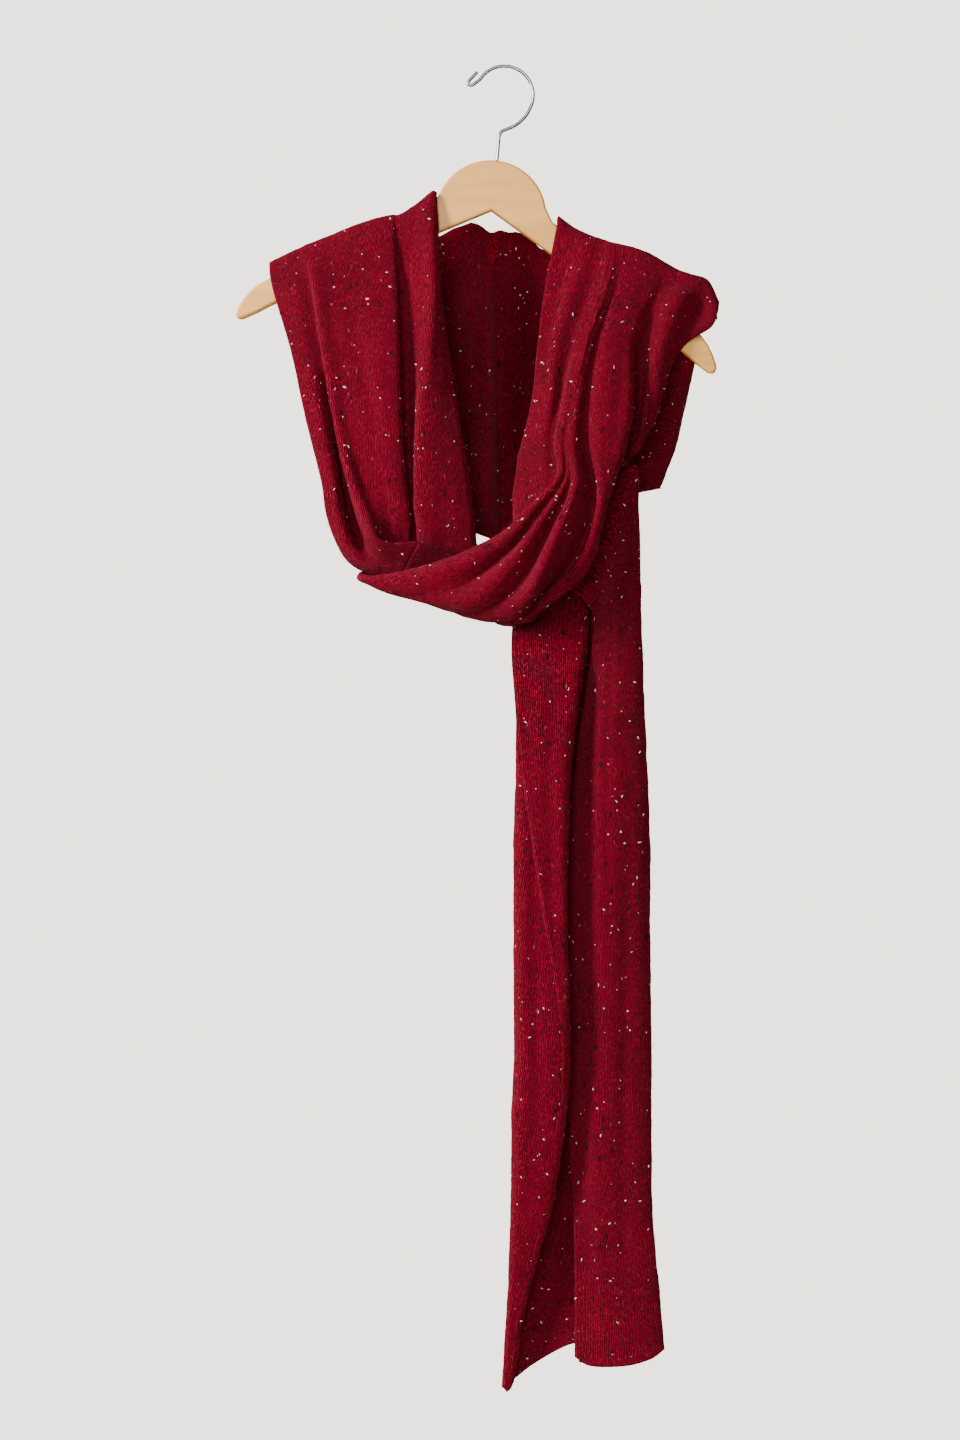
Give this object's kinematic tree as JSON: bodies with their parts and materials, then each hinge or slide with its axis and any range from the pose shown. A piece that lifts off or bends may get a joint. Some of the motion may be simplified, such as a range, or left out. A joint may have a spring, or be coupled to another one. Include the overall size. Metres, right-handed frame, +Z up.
{
  "type": "hooded scarf in wool knit, wound once on itself, on a wooden hanger",
  "caption": "Long hooded scarf in red flecked wool knit: hood hanging behind a wooden hanger, one end wrapped round the other in front, both tails hanging down.",
  "frame": {"origin": "inner top of the hanger's hook, where a rod or peg carries it", "axes": "+Z up, -Y towards the viewer of the front, +X to that viewer's right; the scarf hangs down -Z"},
  "size_m": [0.4442, 0.1029, 1.2212],
  "materials": {
    "knit_hood": "deep red marled wool knit with light and dark flecks, matt and slightly fuzzy",
    "knit_left_drop": "deep red marled wool knit with light and dark flecks, matt and slightly fuzzy",
    "knit_left_pass": "deep red marled wool knit with light and dark flecks, matt and slightly fuzzy",
    "knit_tail_back": "deep red marled wool knit with light and dark flecks, matt and slightly fuzzy",
    "knit_right_drop": "deep red marled wool knit with light and dark flecks, matt and slightly fuzzy",
    "knit_right_wrap": "deep red marled wool knit with light and dark flecks, matt and slightly fuzzy",
    "knit_tail_front": "deep red marled wool knit with light and dark flecks, matt and slightly fuzzy",
    "hanger_wood": "pale hardwood, clear satin varnish",
    "hanger_hook": "bright plated wire"
  },
  "bodies": {
    "root": {"hood": "knit_hood", "left_strand_drop": "knit_left_drop", "left_strand_pass": "knit_left_pass", "left_tail_back": "knit_tail_back", "right_strand_drop": "knit_right_drop", "right_strand_wrap": "knit_right_wrap", "right_tail_front": "knit_tail_front", "hanger_wood": "hanger_wood", "hanger_hook": "hanger_hook"}
  },
  "joints": []
}
